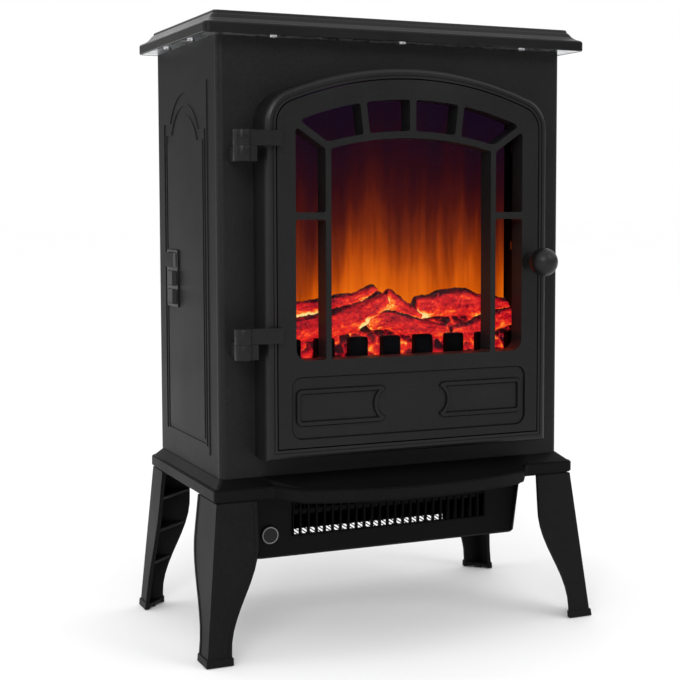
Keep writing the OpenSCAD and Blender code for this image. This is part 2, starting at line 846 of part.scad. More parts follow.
module door() {
    color(iron) placed() difference() {
        union() {
            front_prism(plate_back, door_front) difference() {
                door_outline(0);
                panes();
            }
            door_plate_back();
            for (z = hinge_seams) hinge_strap(z);
        }
        // Lower panel, sunk into the plate, with a raised bead round each cartouche
        front_prism(door_front + panel_sink, door_front - 1) difference() {
            lower_panel(0);
            cartouche_ring(0, bead_w);
        }
        // Fine grooves at the edge of the panel and on both sides of the beads
        front_prism(door_front + panel_sink + groove_w, door_front + panel_sink - 0.5) {
            difference() {
                lower_panel(0);
                lower_panel(groove_w);
            }
            cartouche_ring(-groove_w, 0);
            cartouche_ring(bead_w, bead_w + groove_w);
        }
        for (z = hinge_seams)
            translate([hinge_x, hinge_y, z - 1]) cylinder(r = pin_r + run_fit, h = pin_reach + 2);
        translate([knob_x, plate_back + 20, knob_z]) rotate([90, 0, 0]) cylinder(r = 2.1, h = 60);
        for (p = clip_spots)
            translate([p[0], glass_back + 5, p[1]]) rotate([90, 0, 0]) cylinder(r = 1.4, h = 17);
    }
}

module hinge_strap(z) {
    translate([hinge_x, hinge_y, z + lay]) cylinder(r = knuckle_r, h = knuckle_h);
    block([hinge_x, strap_front, z + lay], [-door_half + 2.5, strap_back, z + knuckle_h + lay]);
    block([-door_half, strap_front, z + lay], [-door_half + 2.5, door_front + 2, z + knuckle_h + lay]);
}

bracket_x = hinge_x + 6.5;

module hinge_brackets() {
    color(iron) placed()
        for (z = hinge_seams) difference() {
            union() {
                translate([hinge_x, hinge_y, z - knuckle_h + lay]) cylinder(r = knuckle_r, h = knuckle_h - lay);
                block([hinge_x, strap_front, z - knuckle_h + lay], [hinge_x + 13, front_y, z]);
            }
            translate([hinge_x, hinge_y, z - knuckle_h + 2]) cylinder(r = pin_r, h = knuckle_h);
            translate([bracket_x, front_y + 1, z - knuckle_h / 2]) rotate([90, 0, 0])
                cylinder(r = 1.9, h = 14);
        }
}

module hinge_pins() {
    color(steel) placed()
        for (z = hinge_seams)
            translate([hinge_x, hinge_y, z - knuckle_h + 2]) cylinder(r = pin_r, h = knuckle_h - 2 + pin_reach);
}

glass_half = door_half - 12.5;
clip_spots = [for (s = [-1, 1], z = [glazed_bottom - 5, transom_z - 30, diagonal_z]) [s * (door_half - 8), z]];

module door_glass() {
    color("#40404080") placed() front_prism(glass_back, bars_back) intersection() {
        door_outline(-12.5);
        translate([-200, glazed_bottom - 9]) square([400, 400]);
    }
}

module glass_clips() {
    color(steel) placed()
        for (p = clip_spots) {
            s = p[0] < 0 ? -1 : 1;
            block([p[0] - 3.5, bars_back, p[1] - 4], [p[0] + 3.5, glass_back + 1.2, p[1] + 4]);
            translate([s * (glass_half - 1), 0, 0])
                block([-3.5, glass_back, p[1] - 4], [3.5, glass_back + 1.2, p[1] + 4]);
            translate([p[0], glass_back + 1.2, p[1]]) rotate([-90, 0, 0]) screw(1.35, 2.6, 1.4, 11);
        }
}

module door_knob() {
    color(iron) placed() translate([knob_x, door_front, knob_z]) rotate([90, 0, 0]) difference() {
        rotate_extrude($fn = 64) union() {
            translate([0, knob_reach]) intersection() {
                circle(knob_r, $fn = 96);
                translate([0, -knob_r]) square([knob_r, 2 * knob_r]);
            }
            square([5.5, knob_reach]);
            square([8.5, 3]);
            translate([0, 3]) square([6.8, 2]);
        }
        translate([0, 0, -1]) cylinder(r = 1.9, h = 21);
    }
}

module knob_screw() {
    color(steel) placed() translate([knob_x, bars_back, knob_z]) rotate([-90, 0, 0])
        screw(1.85, 3.8, 2, bar_depth + 16);
}

// ---- Fire ----

module ember_tray() {
    color(iron) placed() {
        block([-liner_x + sheet, front_y + sheet + 2, tray_z - sheet], [liner_x - sheet, spindle_y + 8, tray_z]);
        block([-liner_x + sheet, front_y + sheet + 2, door_bottom - 8],
              [liner_x - sheet, front_y + 2 * sheet + 2, tray_z - sheet + sliver]);
    }
}

module ember_grate() {
    post_w = 19;
    post_h = 36;
    color(iron) placed() front_prism(grate_y + 8, grate_y) union() {
        w = screen_w / 2 - 12;
        for (k = [0:grate_posts - 1]) {
            x = w * (2 * k / (grate_posts - 1) - 1);
            round_rect([x - post_w / 2, tray_z + lay], [x + post_w / 2, tray_z + post_h], 2.5);
            translate([x - post_w / 2, tray_z + lay]) square([post_w, 8]);
        }
        translate([-w, tray_z + lay]) square([2 * w, 9]);
    }
}

// A log between two points
module log_piece(p, q, r1, r2) {
    hull() {
        translate(p) sphere(r1, $fn = 16);
        translate(q) sphere(r2, $fn = 16);
    }
}

module log_bed() {
    y0 = grate_y + 9;
    depth = screen_y - y0 - 3;
    w = screen_w / 2;
    color("#c02818") placed() difference() {
        union() {
            block([-screen_w / 2 + 4, y0, tray_z + lay], [screen_w / 2 - 4, y0 + depth, tray_z + 26]);
            log_piece([-0.84 * w, y0 + 14, tray_z + 40], [-0.1 * w, y0 + 20, tray_z + 74], 15, 14);
            log_piece([-0.09 * w, y0 + 15, tray_z + 70], [0.34 * w, y0 + 16, tray_z + 36], 14, 12);
            log_piece([0.26 * w, y0 + 22, tray_z + 62], [0.84 * w, y0 + 20, tray_z + 50], 14, 15);
            log_piece([-0.78 * w, y0 + 13, tray_z + 26], [-0.13 * w, y0 + 12, tray_z + 30], 12, 11);
            log_piece([0.4 * w, y0 + 13, tray_z + 32], [0.89 * w, y0 + 13, tray_z + 40], 11, 12);
        }
        block([-200, -200, tray_z - 30], [200, 200, tray_z + lay]);
        block([-200, -200, tray_z - 30], [200, y0, tray_z + 200]);
        block([-200, y0 + depth, tray_z - 30], [200, y0 + depth + 90, tray_z + 200]);
    }
}

module flame_screen() {
    color("#e06010") placed()
        block([-screen_w / 2, screen_y, tray_z + lay], [screen_w / 2, screen_y + 2, liner_top_z - lay]);
}

module liner_side() {
    block([liner_x, front_y + sheet + 1, door_bottom - 8], [liner_x + sheet, spindle_y + 8, liner_top_z + sheet]);
}

module liner_left() {
    color(iron) placed() difference() {
        mirror([1, 0, 0]) liner_side();
        translate([-liner_x - 5, spindle_y, spindle_z]) rotate([0, 90, 0]) cylinder(r = 5, h = 10);
    }
}

module liner_right() {
    color(iron) placed() difference() {
        liner_side();
        translate([liner_x - 5, spindle_y, spindle_z]) rotate([0, 90, 0]) cylinder(r = 5, h = 10);
    }
}

module liner_top() {
    color(iron) placed()
        block([-liner_x + sheet, front_y + sheet + 1, liner_top_z], [liner_x - sheet, spindle_y + 8, liner_top_z + sheet]);
}

shaft_r = 2;

module flame_spindle() {
    foils = 22;
    span = screen_w - 48;
    color(steel) placed() translate([0, spindle_y, spindle_z]) rotate([0, 90, 0]) {
        translate([0, 0, -liner_x - 4]) cylinder(r = shaft_r, h = 2 * liner_x + 8);
        for (k = [0:foils - 1])
            translate([0, 0, -span / 2 + k * span / (foils - 1)]) rotate(k * 67)
                translate([-foil_r, -0.4, -4]) cube([2 * foil_r, 0.8, 8]);
    }
}

module spindle_bush() {
    color("white") placed() translate([-liner_x - sheet, spindle_y, spindle_z]) rotate([0, 90, 0]) difference() {
        union() {
            translate([0, 0, -3]) cylinder(r = 8, h = 3);
            cylinder(r = 4.95, h = sheet + 2);
        }
        translate([0, 0, -4]) cylinder(r = shaft_r + run_fit, h = 12);
    }
}

module spindle_motor() {
    color(steel) placed() translate([liner_x + sheet, spindle_y, spindle_z]) rotate([0, 90, 0]) difference() {
        union() {
            cylinder(r = 15, h = 15);
            translate([-3, -19, 0]) cube([6, 38, 1.2]);
        }
        translate([0, 0, -1]) cylinder(r = shaft_r + run_fit, h = 8);
    }
}

module lamp_board() {
    leds = 12;
    y = spindle_y - 22;
    color("green") placed() {
        block([-140, y - 8, tray_z], [140, y + 8, tray_z + 1.6]);
        for (k = [0:leds - 1])
            translate([-132 + k * 264 / (leds - 1) - 2.5, y - 2.5, tray_z + 1.6 - sliver]) cube([5, 5, 3]);
    }
}

// ---- Heater ----

function pod_ring(inset, t, z, r) =
    let (d = pod_draft * t)
    round_ring([-pod_half + d + inset, pod_y + 3 * t + inset],
               [pod_half - d - inset, pod_y + pod_d - 3 * t - inset], r, z);

housing_screw_spots = [for (s = [-1, 1], y = [pod_y + 14, pod_y + pod_d - 14]) [s * (pod_half - 7), y]];

module heater_housing() {
    color(black) placed() difference() {
        union() {
            difference() {
                loft([pod_ring(2, 1, pod_bottom, 8), pod_ring(0, 1, pod_bottom + 2, 10), pod_ring(0, 0, leg_h, 12)]);
                loft([pod_ring(pod_wall, 1, pod_bottom + pod_wall, 8), pod_ring(pod_wall, 0, leg_h + 1, 9)]);
            }
            for (p = housing_screw_spots)
                translate([p[0], p[1], leg_h - 8]) cylinder(r = 5, h = 8);
        }
        // Openings of the outlet and of the intake
        block([-grille_half, pod_y - 2, grille_low], [grille_half, pod_y + 8, grille_high]);
        for (span = intake_spans)
            block([-intake_half, pod_y + pod_d - 8, span[0]], [intake_half, pod_y + pod_d + 2, span[1]]);
        for (p = housing_screw_spots)
            translate([p[0], p[1], leg_h - 20]) cylinder(r = 1.8, h = 30);
        translate([badge_x, pod_y + 8, badge_z]) rotate([90, 0, 0]) cylinder(r = badge_r + 0.1, h = 12);
    }
}

badge_r = 8.9;
badge_x = -pod_half + 23.5;
badge_z = pod_bottom + 23.5;
intake_half = grille_half - 17;
intake_spans = [[pod_bottom + 4, pod_bottom + 13.5], [pod_bottom + 43, leg_h - 10]];

module housing_screws() {
    color(steel) placed()
        for (p = housing_screw_spots)
            translate([p[0], p[1], leg_h - 8]) mirror([0, 0, 1]) screw(1.55, 3, 1.8, 17);
}

module outlet_grille() {
    rim = 1.2;
    bar_count = floor((2 * grille_half - 2) / grille_pitch);
    first = -(bar_count - 1) * grille_pitch / 2;
    low = grille_low + lay;
    high = grille_high - lay;
    half = grille_half - lay;
    y = pod_y - 0.8;
    color(iron) placed() {
        front_prism(y + 4, y) difference() {
            translate([-half, low]) square([2 * half, high - low]);
            translate([-half + rim, low + rim]) square([2 * half - 2 * rim, high - low - 2 * rim]);
        }
        for (k = [0:bar_count - 1])
            block([first + k * grille_pitch - 1.1, y + 0.6, low + 1],
                  [first + k * grille_pitch + 1.1, y + 4, high - 1]);
        block([-half + 1, y + 0.9, low + 24], [half - 1, y + 3, low + 26]);
    }
}

// Sheet behind the intake, cut into fine slanted slots
module intake_guard() {
    y = pod_y + pod_d - 6.8;
    slot_pitch = 2.9;
    slot_w = 1.9;
    slope = -35;
    half = intake_half - 1;
    reach = half + 30;
    color(iron) placed() front_prism(y + 1.2, y) difference() {
        translate([-intake_half - 3, pod_bottom + pod_wall + lay])
            square([2 * intake_half + 6, leg_h - 8 - pod_bottom - pod_wall - lay]);
        for (span = intake_spans) intersection() {
            translate([-half, span[0] + 0.6]) square([2 * half, span[1] - span[0] - 1.2]);
            for (x = [-reach:slot_pitch / sin(-slope):reach])
                translate([x, (span[0] + span[1]) / 2]) rotate(slope)
                    translate([-30, -slot_w / 2]) square([60, slot_w]);
        }
    }
}

module housing_badge() {
    color(iron) placed() translate([badge_x, pod_y + 1.8, badge_z]) rotate([90, 0, 0])
        rotate_extrude() polygon([
            [0, -2.5], [badge_r, -2.5], [badge_r, 2.6], [badge_r - 0.7, 3.2],
            [badge_r - 1.9, 3.2], [badge_r - 2.3, 2.5], [0, 2.5]]);
}

module impeller() {
    vanes = 20;
    color(iron) placed() translate([-4, fan_y, fan_z]) rotate([0, 90, 0]) {
        for (x = [-fan_l / 2, -1, fan_l / 2 - 2])
            translate([0, 0, x]) cylinder(r = fan_r, h = 2);
        for (k = [0:vanes - 1])
            rotate(k * 360 / vanes) translate([fan_r - 5.5, 0, -fan_l / 2]) rotate(-25)
                cube([5.2, 0.9, fan_l]);
        translate([0, 0, -fan_l / 2 - 12]) cylinder(r = 3, h = 14);
        translate([0, 0, fan_l / 2 - 2]) cylinder(r = 3, h = 16);
    }
}

module impeller_bush() {
    color("white") placed() translate([-fan_l / 2 - 8.2, fan_y, fan_z]) rotate([0, 90, 0]) difference() {
        union() {
            translate([0, 0, -4]) cylinder(r = 5.9, h = 6);
            translate([0, 0, -4]) cylinder(r = 8.5, h = 2);
        }
        translate([0, 0, -5]) cylinder(r = 3 + run_fit, h = 10);
    }
}

module blower_motor() {
    x = fan_l / 2 + 2.2;
    color(steel) placed() translate([x, fan_y, fan_z]) rotate([0, 90, 0]) difference() {
        union() {
            cylinder(r = 5.9, h = 3);
            translate([0, 0, 2]) cylinder(r = 17, h = 28);
        }
        translate([0, 0, -1]) cylinder(r = 3 + run_fit, h = 13);
    }
}

// Back wall of the fan's air path, with its two end plates
module scroll_plate() {
    left = -fan_l / 2 - 4 - 4.2;
    right = fan_l / 2 - 4 + 4.2;
    ends = [left, right];
    color(steel) placed() {
        translate([left, fan_y, fan_z]) rotate([0, 90, 0]) rotate([0, 0, 90])
            rotate_extrude(angle = 150) translate([scroll_r, 0]) square([1.4, right - left + 2]);
        for (x = ends)
            difference() {
                block([x, fan_y - 12, fan_z - 16], [x + 2, fan_y + scroll_r, fan_z + scroll_r + 2]);
                translate([x - 1, fan_y, fan_z]) rotate([0, 90, 0]) cylinder(r = 6, h = 5);
            }
    }
}

module heating_element() {
    y = fan_y - 28;
    low = fan_z - 17;
    high = fan_z + 17;
    fins = 26;
    half = grille_half - 3;
    color("#b0a890") placed() {
        difference() {
            block([-half, y - 6, low], [half, y + 6, high]);
            block([-half + 3, y - 7, low + 3], [half - 3, y + 7, high - 3]);
        }
        for (z = [low + 9, high - 12])
            block([-half + 2, y - 4, z], [half - 2, y + 4, z + 3]);
        for (k = [0:fins - 1]) {
            x = (half - 5) * (2 * k / (fins - 1) - 1);
            block([x - 0.4, y - 5, low + 2], [x + 0.4, y + 5, high - 2]);
        }
    }
}

module thermal_cutout() {
    color(steel) placed() translate([80, fan_y - 28, fan_z + 17]) difference() {
        union() {
            cylinder(r = 7.5, h = 4);
            translate([-12, -3, 0]) cube([24, 6, 1]);
        }
        for (s = [-1, 1]) translate([s * 10, 0, -1]) cylinder(r = 1.2, h = 4);
    }
}

// ---- Switches ----

module switch_bezel() {
    x_out = half_w + 2.6;
    pocket = 12;
    color(iron) placed() mirror([1, 0, 0]) difference() {
        union() {
            side_prism(half_w + lay, x_out)
                round_rect([switch_y - bezel_w / 2, switch_z - bezel_h / 2],
                           [switch_y + bezel_w / 2, switch_z + bezel_h / 2], 2);
            side_prism(half_w - pocket, half_w + 1)
                translate([switch_y - bezel_w / 2 + 1.7, switch_z - bezel_h / 2 + 1.7])
                    square([bezel_w - 3.4, bezel_h - 3.4]);
        }
        for (k = [-1:1]) {
            z = switch_z + k * rocker_pitch;
            side_prism(half_w - pocket + 1.5, x_out + 1)
                translate([switch_y - rocker_w / 2 - rocker_gap, z - rocker_h / 2 - rocker_gap])
                    square([rocker_w + 2 * rocker_gap, rocker_h + 2 * rocker_gap]);
            translate([half_w + 2.6 - rocker_pivot, switch_y, z - rocker_h / 2 - rocker_gap - 1.2])
                cylinder(r = 1.5 + run_fit, h = rocker_h + 2 * rocker_gap + 2.4);
        }
    }
}

// A rocker in slot k, tilted by a
module rocker(k, a) {
    z = switch_z + k * rocker_pitch;
    w = rocker_w / 2 - 0.6;
    translate([-half_w - 2.6 + rocker_pivot, switch_y, z]) rotate([0, 0, a]) {
        translate([0, 0, -rocker_h / 2]) linear_extrude(rocker_h)
            polygon([[-rocker_pivot - 2.4, -w], [-rocker_pivot + 0.2, 0], [-rocker_pivot - 2.4, w],
                     [-rocker_pivot + 2.5, w + 0.3], [-1, w * 0.6], [2.6, 2.5], [2.6, -2.5],
                     [-1, -w * 0.6], [-rocker_pivot + 2.5, -w - 0.3]]);
        translate([0, 0, -rocker_h / 2 - rocker_gap - 1])
            cylinder(r = 1.5, h = rocker_h + 2 * rocker_gap + 2);
    }
}

module flame_switch() { color("gray") placed() rocker(1, rocker_tilt); }
module low_heat_switch() { color("gray") placed() rocker(0, -rocker_tilt); }
module high_heat_switch() { color("gray") placed() rocker(-1, -rocker_tilt); }

lid();
top_plate();
lid_screws();
front_panel();
side_panel_left();
side_panel_right();
rear_cover();
rear_screws();
floor_plate();
door_surround();
base_plinth();
leg_front_left();
leg_front_right();
leg_rear_left();
leg_rear_right();
leg_screws();
foot_pads();
door();
door_glass();
glass_clips();
strike_plate();
latch_magnet();
hinge_brackets();
hinge_pins();
door_knob();
knob_screw();
ember_tray();
ember_grate();
log_bed();
flame_screen();
liner_left();
liner_right();
liner_top();
flame_spindle();
spindle_bush();
spindle_motor();
lamp_board();
heater_housing();
outlet_grille();
intake_guard();
housing_badge();
housing_screws();
impeller();
impeller_bush();
blower_motor();
scroll_plate();
heating_element();
thermal_cutout();
switch_bezel();
flame_switch();
low_heat_switch();
high_heat_switch();
terminal_block();
cord_gland();
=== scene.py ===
"""Looks of a free-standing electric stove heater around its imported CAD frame."""
import math

import bpy
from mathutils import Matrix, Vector, kdtree, noise


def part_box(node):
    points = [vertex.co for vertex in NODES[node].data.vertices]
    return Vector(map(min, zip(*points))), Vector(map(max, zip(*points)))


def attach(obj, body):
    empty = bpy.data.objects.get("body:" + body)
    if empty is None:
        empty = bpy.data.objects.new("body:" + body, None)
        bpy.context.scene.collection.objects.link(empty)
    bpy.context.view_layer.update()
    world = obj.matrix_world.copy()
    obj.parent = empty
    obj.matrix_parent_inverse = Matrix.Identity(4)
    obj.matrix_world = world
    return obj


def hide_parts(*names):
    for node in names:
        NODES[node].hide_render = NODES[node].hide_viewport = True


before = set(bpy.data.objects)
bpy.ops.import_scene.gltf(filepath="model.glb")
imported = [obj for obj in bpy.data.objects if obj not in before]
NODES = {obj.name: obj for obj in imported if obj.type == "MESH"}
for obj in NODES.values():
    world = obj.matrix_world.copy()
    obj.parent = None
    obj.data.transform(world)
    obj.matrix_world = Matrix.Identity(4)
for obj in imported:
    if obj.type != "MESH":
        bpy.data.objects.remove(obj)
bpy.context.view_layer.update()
MM = 0.001


# ---- Node helpers ----

def new_material(name):
    material = bpy.data.materials.new(name)
    material.use_nodes = True
    tree = material.node_tree
    shader = tree.nodes["Principled BSDF"]
    return material, tree, shader


def place(tree, scale=(1, 1, 1)):
    """Object coordinates in metres, stretched by scale."""
    coords = tree.nodes.new("ShaderNodeTexCoord")
    mapping = tree.nodes.new("ShaderNodeMapping")
    mapping.inputs["Scale"].default_value = scale
    tree.links.new(coords.outputs["Object"], mapping.inputs["Vector"])
    return mapping.outputs["Vector"]


def noise_at(tree, vector, scale, detail=2.0, roughness=0.5):
    """Noise from 0 to 1, with about scale waves to each unit of vector."""
    node = tree.nodes.new("ShaderNodeTexNoise")
    node.inputs["Scale"].default_value = scale
    node.inputs["Detail"].default_value = detail
    node.inputs["Roughness"].default_value = roughness
    tree.links.new(vector, node.inputs["Vector"])
    return node.outputs["Fac"]


def ramp(tree, value, stops):
    """Colours by value, from stops of (position, colour)."""
    node = tree.nodes.new("ShaderNodeValToRGB")
    elements = node.color_ramp.elements
    elements.remove(elements[1])
    first_position, first_colour = stops[0]
    elements[0].position = first_position
    elements[0].color = (*first_colour, 1)
    for position, colour in stops[1:]:
        elements.new(position).color = (*colour, 1)
    tree.links.new(value, node.inputs["Fac"])
    return node.outputs["Color"]


def remap(tree, value, low, high, from_low=0.3, from_high=0.7):
    """Low to high as value goes over the middle of a noise's range, or over the range given."""
    node = tree.nodes.new("ShaderNodeMapRange")
    node.inputs["From Min"].default_value = from_low
    node.inputs["From Max"].default_value = from_high
    node.inputs["To Min"].default_value = low
    node.inputs["To Max"].default_value = high
    tree.links.new(value, node.inputs["Value"])
    return node.outputs["Result"]


def math_node(tree, operation, a, b=None):
    node = tree.nodes.new("ShaderNodeMath")
    node.operation = operation
    for k, value in enumerate((a, b)):
        if value is None:
            continue
        if isinstance(value, (int, float)):
            node.inputs[k].default_value = value
        else:
            tree.links.new(value, node.inputs[k])
    return node.outputs["Value"]


def swing(tree, value, share):
    """A noise moved to swing about 0, times share."""
    return math_node(tree, "MULTIPLY", math_node(tree, "SUBTRACT", value, 0.5), share)


def bump(tree, height, distance):
    node = tree.nodes.new("ShaderNodeBump")
    node.inputs["Distance"].default_value = distance
    tree.links.new(height, node.inputs["Height"])
    return node.outputs["Normal"]


def grey(level):
    return (level, level, level)


def shade(colour, factor):
    return tuple(channel * factor for channel in colour)


# ---- Materials ----

def coated(name, colour, rough, shine, grain=0.0007, depth=0.00004):
    """Satin black finish, with a fine grain and faint clouds in colour and gloss."""
    cloud_scale, speck_scale = 9.0, 420.0
    gloss_spread = 0.06
    material, tree, shader = new_material(name)
    where = place(tree)
    fine = noise_at(tree, where, 1 / grain, 3.0, 0.6)
    cloud = noise_at(tree, where, cloud_scale, 4.0, 0.6)
    speck = noise_at(tree, where, speck_scale)
    mixed = math_node(tree, "ADD", math_node(tree, "MULTIPLY", cloud, 0.5),
                      math_node(tree, "MULTIPLY", speck, 0.5))
    dark, light = shade(colour, 0.78), shade(colour, 1.28)
    tree.links.new(ramp(tree, mixed, [(0.35, dark), (0.65, light)]), shader.inputs["Base Color"])
    gloss = remap(tree, cloud, rough - gloss_spread, rough + gloss_spread)
    tree.links.new(gloss, shader.inputs["Roughness"])
    tree.links.new(bump(tree, fine, depth), shader.inputs["Normal"])
    shader.inputs["Specular IOR Level"].default_value = shine
    return material


def metal(name, colour, rough):
    """Bare metal with fine drawn lines along x and patches of haze."""
    drawn, line_scale, line_depth = (40, 600, 600), 3.0, 0.00001
    haze_scale = 30.0
    material, tree, shader = new_material(name)
    lines = noise_at(tree, place(tree, drawn), line_scale, 4.0, 0.6)
    cloud = noise_at(tree, place(tree), haze_scale, 3.0)
    dark = shade(colour, 0.82)
    tree.links.new(ramp(tree, lines, [(0.35, dark), (0.65, colour)]), shader.inputs["Base Color"])
    tree.links.new(remap(tree, cloud, rough - 0.07, rough + 0.1), shader.inputs["Roughness"])
    tree.links.new(bump(tree, lines, line_depth), shader.inputs["Normal"])
    shader.inputs["Metallic"].default_value = 1.0
    return material


def galvanised(name):
    """Zinc-coated sheet: cells of slightly different grey and gloss."""
    cell_scale = 110.0
    darkest, palest = (0.46, 0.47, 0.49), (0.72, 0.73, 0.75)
    material, tree, shader = new_material(name)
    where = place(tree)
    cells = tree.nodes.new("ShaderNodeTexVoronoi")
    cells.inputs["Scale"].default_value = cell_scale
    tree.links.new(where, cells.inputs["Vector"])
    value = tree.nodes.new("ShaderNodeSeparateColor")
    tree.links.new(cells.outputs["Color"], value.inputs["Color"])
    tone = ramp(tree, value.outputs["Red"], [(0.0, darkest), (1.0, palest)])
    tree.links.new(tone, shader.inputs["Base Color"])
    gloss = remap(tree, value.outputs["Green"], 0.22, 0.42, 0, 1)
    tree.links.new(gloss, shader.inputs["Roughness"])
    shader.inputs["Metallic"].default_value = 1.0
    return material


def moulded(name, colour, rough, shine=0.5):
    """Plain moulded plastic, rubber or board, with slight flow marks."""
    flow_scale, grain, depth = 60.0, 0.0012, 0.00002
    material, tree, shader = new_material(name)
    where = place(tree)
    flow = noise_at(tree, where, flow_scale, 3.0)
    fine = noise_at(tree, where, 1 / grain)
    dark = shade(colour, 0.88)
    tree.links.new(ramp(tree, flow, [(0.35, dark), (0.65, colour)]), shader.inputs["Base Color"])
    tree.links.new(remap(tree, flow, rough - 0.04, rough + 0.05), shader.inputs["Roughness"])
    tree.links.new(bump(tree, fine, depth), shader.inputs["Normal"])
    shader.inputs["Specular IOR Level"].default_value = shine
    return material


def ringed(name, node_name):
    """Black plastic with a pale ring printed round a blank middle."""
    black, pale = grey(0.006), grey(0.17)
    ring_in, ring_out, fade = 0.80, 0.89, 0.03
    material, tree, shader = new_material(name)
    low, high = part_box(node_name)
    middle = (low + high) / 2
    radius = (high.x - low.x) / 2
    offset = tree.nodes.new("ShaderNodeVectorMath")
    offset.operation = "SUBTRACT"
    offset.inputs[1].default_value = middle
    coords = tree.nodes.new("ShaderNodeTexCoord")
    tree.links.new(coords.outputs["Object"], offset.inputs[0])
    flat = tree.nodes.new("ShaderNodeMapping")
    flat.inputs["Scale"].default_value = (1 / radius, 0, 1 / radius)
    tree.links.new(offset.outputs["Vector"], flat.inputs["Vector"])
    length = tree.nodes.new("ShaderNodeVectorMath")
    length.operation = "LENGTH"
    tree.links.new(flat.outputs["Vector"], length.inputs[0])
    stops = [(ring_in - fade, black), (ring_in, pale), (ring_out, pale), (ring_out + fade, black)]
    tree.links.new(ramp(tree, length.outputs["Value"], stops), shader.inputs["Base Color"])
    gloss = remap(tree, noise_at(tree, place(tree), 90.0), 0.3, 0.4)
    tree.links.new(gloss, shader.inputs["Roughness"])
    shader.inputs["Specular IOR Level"].default_value = 0.2
    return material


def clear_glass(name):
    """Thin clear glass, faintly smeared, that bends light hardly at all."""
    smear_scale = 14.0
    dull, clean = (0.90, 0.90, 0.92), (0.96, 0.96, 0.97)
    material, tree, shader = new_material(name)
    where = place(tree)
    smear = noise_at(tree, where, smear_scale, 4.0, 0.6)
    tree.links.new(remap(tree, smear, 0.0, 0.03), shader.inputs["Roughness"])
    tint = ramp(tree, smear, [(0.3, dull), (0.7, clean)])
    tree.links.new(tint, shader.inputs["Base Color"])
    shader.inputs["Transmission Weight"].default_value = 1.0
    shader.inputs["IOR"].default_value = 1.045
    return material


FLAME_LOW, FLAME_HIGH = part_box("flame_screen")[0].z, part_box("flame_screen")[1].z
# Glow by height on the flame screen, 0 at its foot and 1 at its top, before flames() shifts it
FLAME_STOPS = [
    (0.12, (0.92, 0.24, 0.008)),
    (0.24, (0.80, 0.15, 0.003)),
    (0.32, (0.64, 0.100, 0.002)),
    (0.40, (0.36, 0.046, 0.002)),
    (0.49, (0.17, 0.019, 0.003)),
    (0.60, (0.062, 0.006, 0.004)),
    (0.72, (0.025, 0.003, 0.006)),
    (0.86, (0.012, 0.003, 0.009)),
    (1.00, (0.008, 0.003, 0.012)),
]
# Glow by heat, from dead black to yellow
EMBER_STOPS = [
    (0.08, (0.005, 0.001, 0.003)),
    (0.22, (0.06, 0.001, 0.005)),
    (0.36, (0.30, 0.002, 0.010)),
    (0.50, (0.58, 0.006, 0.012)),
    (0.64, (0.86, 0.026, 0.014)),
    (0.76, (1.0, 0.13, 0.012)),
    (0.87, (1.0, 0.38, 0.03)),
    (1.00, (1.0, 0.78, 0.30)),
]


def flames(name):
    """Glow that rises from the log bed and dies away upwards, in soft tongues."""
    fall_to_sides = 0.75
    soot_dark, soot_light = (0.001, 0.001, 0.002), (0.003, 0.002, 0.003)
    material, tree, shader = new_material(name)
    coords = tree.nodes.new("ShaderNodeTexCoord")
    split = tree.nodes.new("ShaderNodeSeparateXYZ")
    tree.links.new(coords.outputs["Object"], split.inputs["Vector"])
    height = remap(tree, split.outputs["Z"], 0.0, 1.0, FLAME_LOW, FLAME_HIGH)
    broad = noise_at(tree, place(tree, (1, 1, 0.12)), 26.0)
    thin = noise_at(tree, place(tree, (1, 1, 0.07)), 130.0, 3.0, 0.6)
    soft = noise_at(tree, place(tree, (1, 1, 0.5)), 9.0)
    from_middle = math_node(tree, "ABSOLUTE", split.outputs["X"])
    wide = math_node(tree, "MULTIPLY", from_middle, fall_to_sides)
    shift = swing(tree, broad, 0.34)
    for value, share in ((thin, 0.24), (soft, 0.34)):
        shift = math_node(tree, "ADD", shift, swing(tree, value, share))
    raised = math_node(tree, "ADD", math_node(tree, "ADD", height, wide), shift)
    tree.links.new(ramp(tree, raised, FLAME_STOPS), shader.inputs["Emission Color"])
    shader.inputs["Emission Strength"].default_value = 1.0
    soot = ramp(tree, thin, [(0.3, soot_dark), (0.7, soot_light)])
    tree.links.new(soot, shader.inputs["Base Color"])
    shader.inputs["Roughness"].default_value = 0.8
    shader.inputs["Specular IOR Level"].default_value = 0.02
    return material


def embers(name):
    """Charred wood that glows: the mesh says how hot each spot is, noise breaks it up."""
    char_dark, char_light = (0.012, 0.008, 0.008), (0.03, 0.018, 0.016)
    material, tree, shader = new_material(name)
    where = place(tree)
    heat = tree.nodes.new("ShaderNodeAttribute")
    heat.attribute_name = "ember"
    along = noise_at(tree, place(tree, (0.35, 1, 1)), 220.0, 4.0, 0.65)
    fine = noise_at(tree, where, 620.0, 3.0, 0.6)
    patch = noise_at(tree, where, 60.0, 3.0, 0.6)
    total = heat.outputs["Fac"]
    for value, share in ((along, 0.50), (fine, 0.40), (patch, 0.50)):
        total = math_node(tree, "ADD", total, swing(tree, value, share))
    tree.links.new(ramp(tree, total, EMBER_STOPS), shader.inputs["Emission Color"])
    shader.inputs["Emission Strength"].default_value = 1.0
    char = ramp(tree, along, [(0.3, char_dark), (0.7, char_light)])
    tree.links.new(char, shader.inputs["Base Color"])
    tree.links.new(bump(tree, fine, 0.0006), shader.inputs["Normal"])
    shader.inputs["Roughness"].default_value = 0.85
    shader.inputs["Specular IOR Level"].default_value = 0.15
    return material


